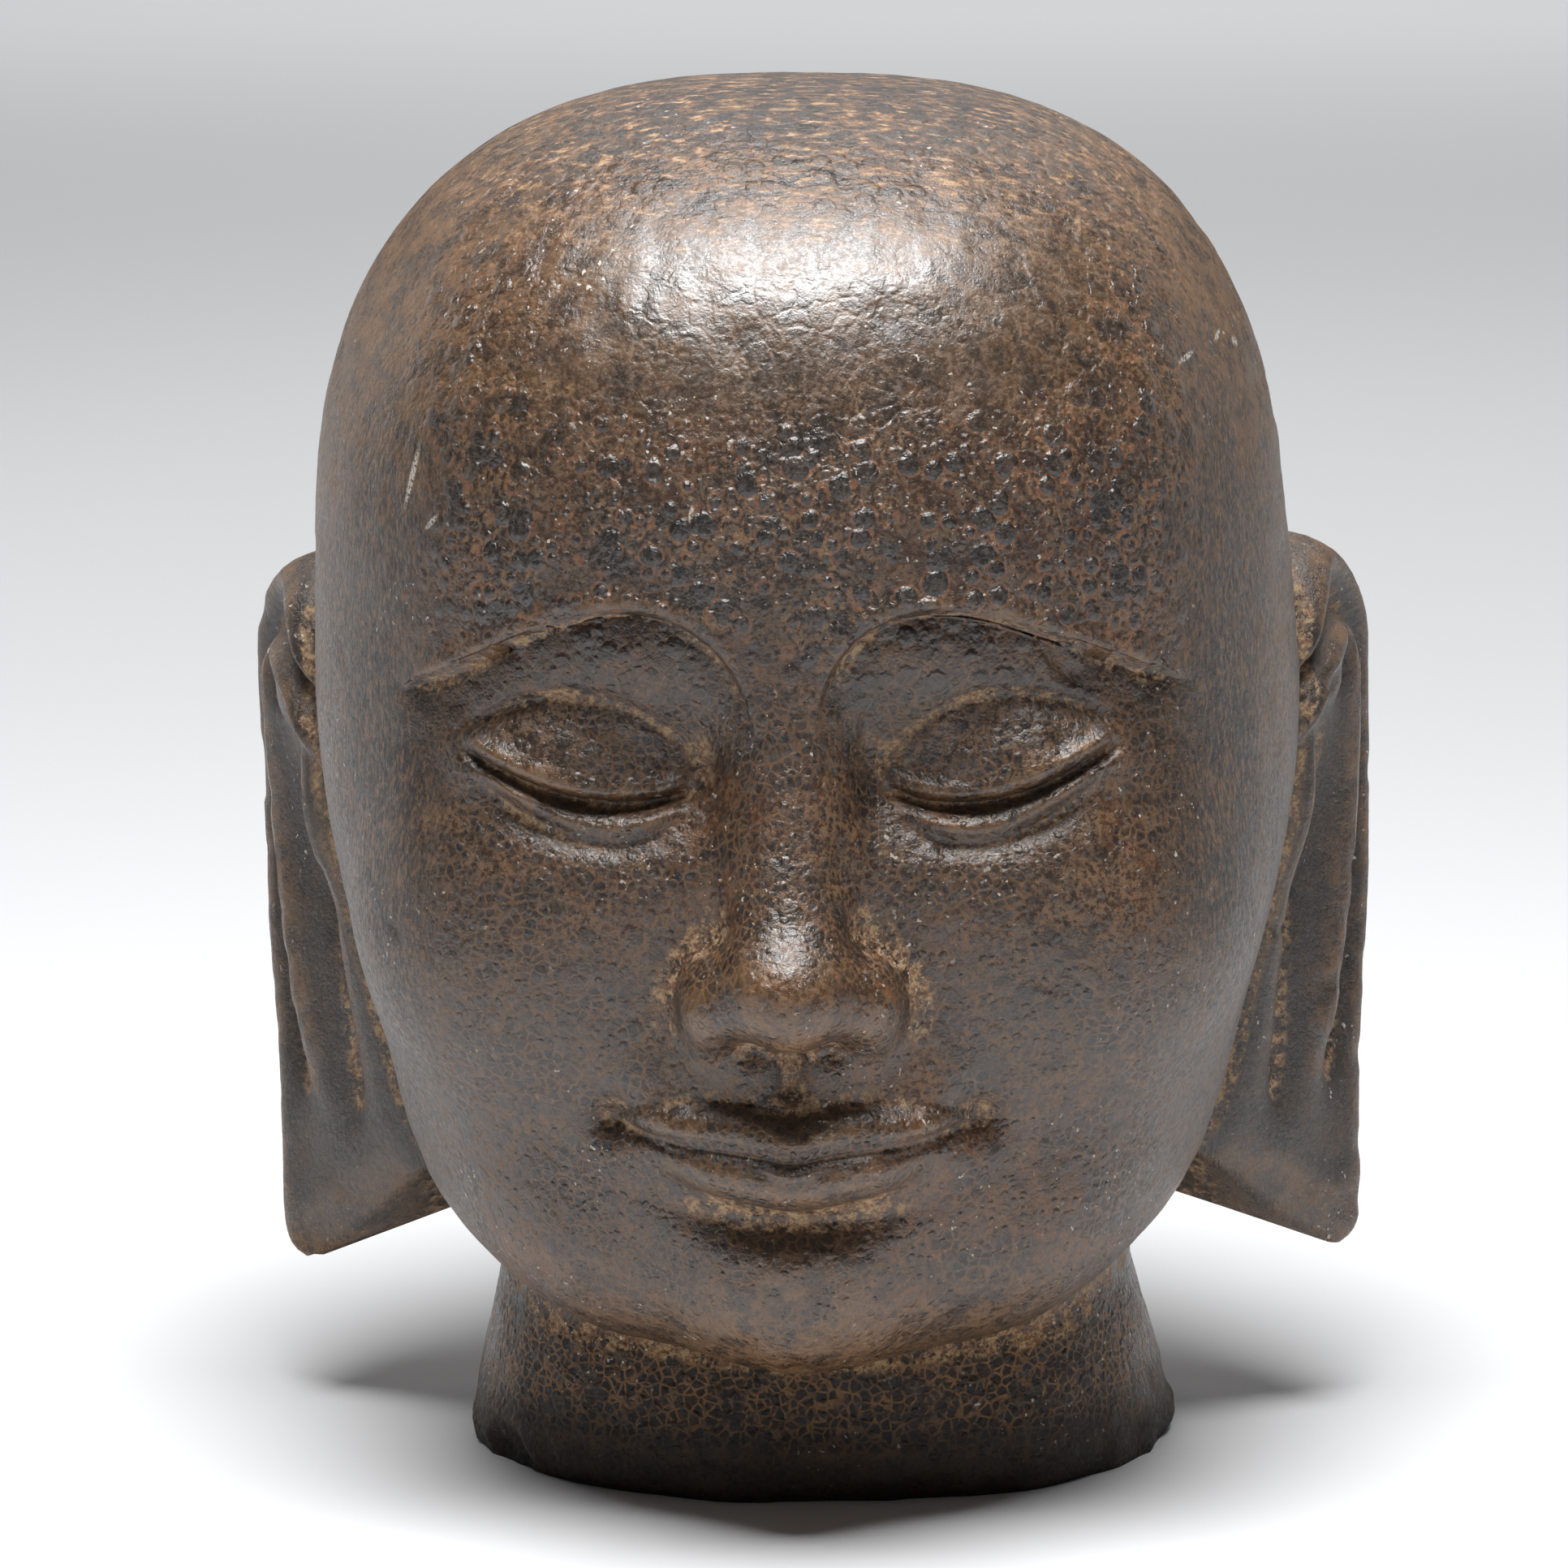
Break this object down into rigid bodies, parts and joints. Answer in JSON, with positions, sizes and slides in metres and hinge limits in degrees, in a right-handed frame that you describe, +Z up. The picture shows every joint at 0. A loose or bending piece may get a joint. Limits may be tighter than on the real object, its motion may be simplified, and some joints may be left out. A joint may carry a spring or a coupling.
{
  "type": "stone monk head",
  "caption": "Carved stone head of a shaven Buddhist monk with long lobed ears and closed eyes, in one piece with a short flared neck that it stands on.",
  "frame": {"origin": "middle of the flat underside of the neck", "axes": "+Z up, the face looks towards -Y, +X is to the right of someone who looks at the face"},
  "size_m": [0.1639, 0.1657, 0.1963],
  "materials": {
    "stone": "satin"
  },
  "bodies": {
    "root": {"stone_head": "stone"}
  },
  "joints": []
}
